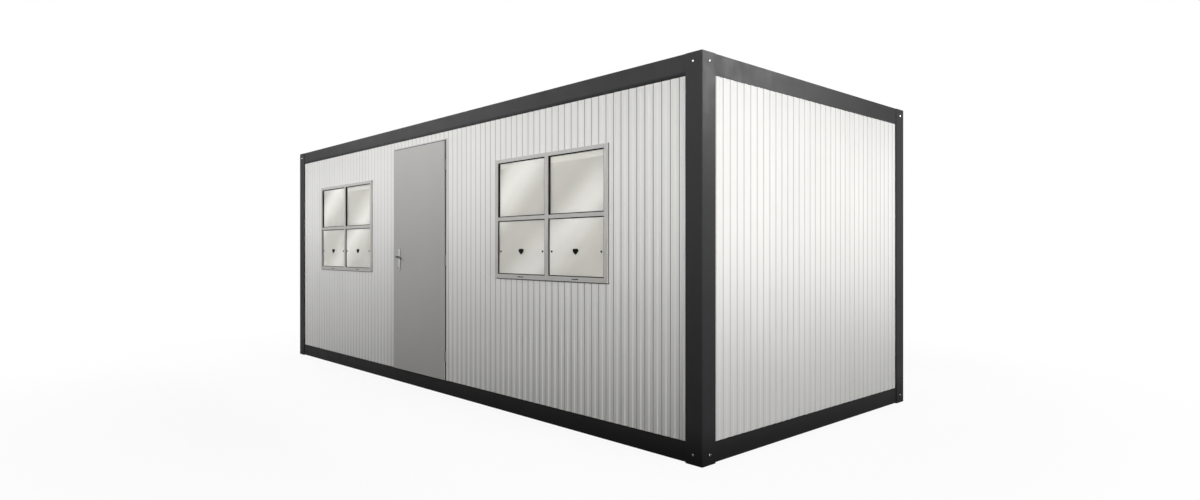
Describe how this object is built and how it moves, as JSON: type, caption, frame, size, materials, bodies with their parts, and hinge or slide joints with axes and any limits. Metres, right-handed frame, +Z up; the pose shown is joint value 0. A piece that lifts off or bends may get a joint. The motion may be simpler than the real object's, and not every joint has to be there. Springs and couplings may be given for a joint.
{
  "type": "portable site cabin",
  "caption": "Flat-roofed portable site cabin: steel corner posts and beams, ribbed panel walls, sliding windows and a steel door that opens outwards with a lever handle.",
  "frame": {"origin": "on the ground, under the middle of the plan between the corner posts", "axes": "+X along the front wall, to the right for someone outside who faces it; +Y from the front wall to the rear; +Z up"},
  "size_m": [7, 3.0725, 2.735],
  "materials": {
    "frame_paint": "satin charcoal paint",
    "wall_paint": "satin off-white coil coating",
    "roof_paint": "satin pale grey coil coating",
    "ceiling_paint": "satin off-white",
    "galvanised": "dull galvanised steel",
    "floor_board": "sealed grey-brown board",
    "window_profile": "satin grey profile",
    "glazing": "clear",
    "latch_plastic": "black moulded plastic",
    "door_paint": "satin mid grey paint",
    "hinge_paint": "painted with the door",
    "handle_metal": "satin metal"
  },
  "bodies": {
    "cabin": {"ceiling_panel": "ceiling_paint", "door_frame": "door_paint", "door_hinge_pins": "hinge_paint", "floor_beam_front": "frame_paint", "floor_beam_left": "frame_paint", "floor_beam_rear": "frame_paint", "floor_beam_right": "frame_paint", "floor_deck": "floor_board", "floor_joists": "galvanised", "front_panel_left_end": "wall_paint", "front_panel_left_of_door": "wall_paint", "front_panel_over_door": "wall_paint", "front_panel_over_left_window": "wall_paint", "front_panel_over_right_window": "wall_paint", "front_panel_right_end": "wall_paint", "front_panel_right_of_door": "wall_paint", "front_panel_under_left_window": "wall_paint", "front_panel_under_right_window": "wall_paint", "left_wall": "wall_paint", "post_base_plates": "frame_paint", "post_cap_plates": "frame_paint", "post_front_left": "frame_paint", "post_front_right": "frame_paint", "post_rear_left": "frame_paint", "post_rear_right": "frame_paint", "rear_wall": "wall_paint", "right_wall": "wall_paint", "roof_beam_front": "frame_paint", "roof_beam_left": "frame_paint", "roof_beam_rear": "frame_paint", "roof_beam_right": "frame_paint", "roof_sheet": "roof_paint", "window_left_frame": "window_profile", "window_left_latches": "latch_plastic", "window_left_panes": "glazing", "window_left_sash_rails": "window_profile", "window_right_frame": "window_profile", "window_right_latches": "latch_plastic", "window_right_panes": "glazing", "window_right_sash_rails": "window_profile"},
    "door": {"door_leaf": "door_paint", "door_hinge_barrels": "hinge_paint", "door_lock_plates": "handle_metal"},
    "handle": {"door_levers": "handle_metal"}
  },
  "joints": [
    {"name": "door_hinge", "type": "hinge", "parent": "cabin", "child": "door", "pos_m": [0.31475, -1.51, 1.3225], "axis": [0, 0, 1], "range_deg": [0, 110]},
    {"name": "lever_turn", "type": "hinge", "parent": "door", "child": "handle", "pos_m": [-0.61175, -1.492, 1.352], "axis": [0, 1, 0], "range_deg": [0, 40], "stiffness_Nm_per_rad": 1, "springref_deg": -28.65}
  ]
}
